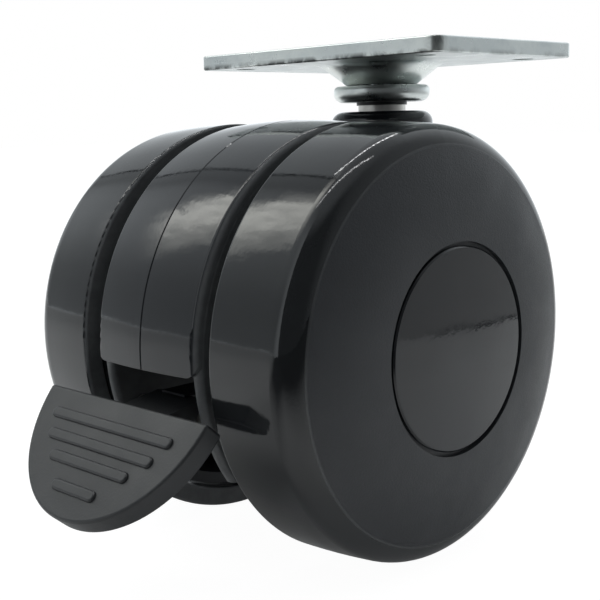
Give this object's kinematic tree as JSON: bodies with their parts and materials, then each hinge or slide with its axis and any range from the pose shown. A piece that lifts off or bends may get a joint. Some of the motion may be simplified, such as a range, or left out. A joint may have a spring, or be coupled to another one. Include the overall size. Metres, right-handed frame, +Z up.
{
  "type": "chair caster wheel",
  "caption": "Swivelling caster with two wheels side by side, a plate on top for screws and a foot pedal that brakes both wheels.",
  "frame": {"origin": "centre of the top plate's upper face, on the swivel axis", "axes": "+Z up, out of the plate's upper face; +X the direction of travel, with the wheels and pedal trailing towards -X; +Y along the axle, to the left"},
  "size_m": [0.1328, 0.098, 0.118],
  "materials": {
    "zinc_plated_steel": "bright zinc plate, slightly mottled",
    "bright_steel": "turned, bright",
    "bearing_steel": "polished",
    "spring_steel": "black oxide",
    "black_rubber": "smooth",
    "gloss_black_plastic": "high gloss",
    "matte_black_plastic": "fine spark-eroded texture",
    "tread_black": "glossy polyurethane",
    "pedal_plastic": "satin",
    "acetal": "natural acetal"
  },
  "bodies": {
    "mounting_plate": {"top_plate": "zinc_plated_steel"},
    "ball_set": {"race_balls": "bearing_steel"},
    "swivel_body": {"kingpin": "bright_steel", "head_washer": "bright_steel", "race_collar": "zinc_plated_steel", "dust_seal": "black_rubber", "housing": "gloss_black_plastic", "stem_sleeve": "bright_steel", "stem_ring": "spring_steel", "axle": "bright_steel", "hub_washer_left": "acetal", "hub_washer_right": "acetal", "axle_clip_left": "spring_steel", "axle_clip_right": "spring_steel", "pedal_pin": "bright_steel", "pedal_leaf": "spring_steel"},
    "left_wheel": {"wheel_core_left": "matte_black_plastic", "tread_left": "tread_black", "axle_bush_left": "acetal", "hub_cap_left": "gloss_black_plastic"},
    "right_wheel": {"wheel_core_right": "matte_black_plastic", "tread_right": "tread_black", "axle_bush_right": "acetal", "hub_cap_right": "gloss_black_plastic"},
    "pedal_lever": {"pedal": "pedal_plastic", "brake_bar": "bright_steel"}
  },
  "joints": [
    {"name": "swivel", "type": "hinge", "parent": "mounting_plate", "child": "swivel_body", "pos_m": [0, 0, 0], "axis": [0, 0, 1], "continuous": true},
    {"name": "ball_orbit", "type": "hinge", "parent": "mounting_plate", "child": "ball_set", "pos_m": [0, 0, 0], "axis": [0, 0, 1], "continuous": true},
    {"name": "left_wheel_spin", "type": "hinge", "parent": "swivel_body", "child": "left_wheel", "pos_m": [-0.0313, 0, -0.068], "axis": [0, 1, 0], "continuous": true},
    {"name": "right_wheel_spin", "type": "hinge", "parent": "swivel_body", "child": "right_wheel", "pos_m": [-0.0313, 0, -0.068], "axis": [0, 1, 0], "continuous": true},
    {"name": "brake_pedal", "type": "hinge", "parent": "swivel_body", "child": "pedal_lever", "pos_m": [-0.0713, 0, -0.082], "axis": [0, -1, 0], "range_deg": [0, 14]}
  ],
  "couplings": [
    {"joint": "ball_orbit", "follows": "swivel", "ratio": 0.5}
  ]
}
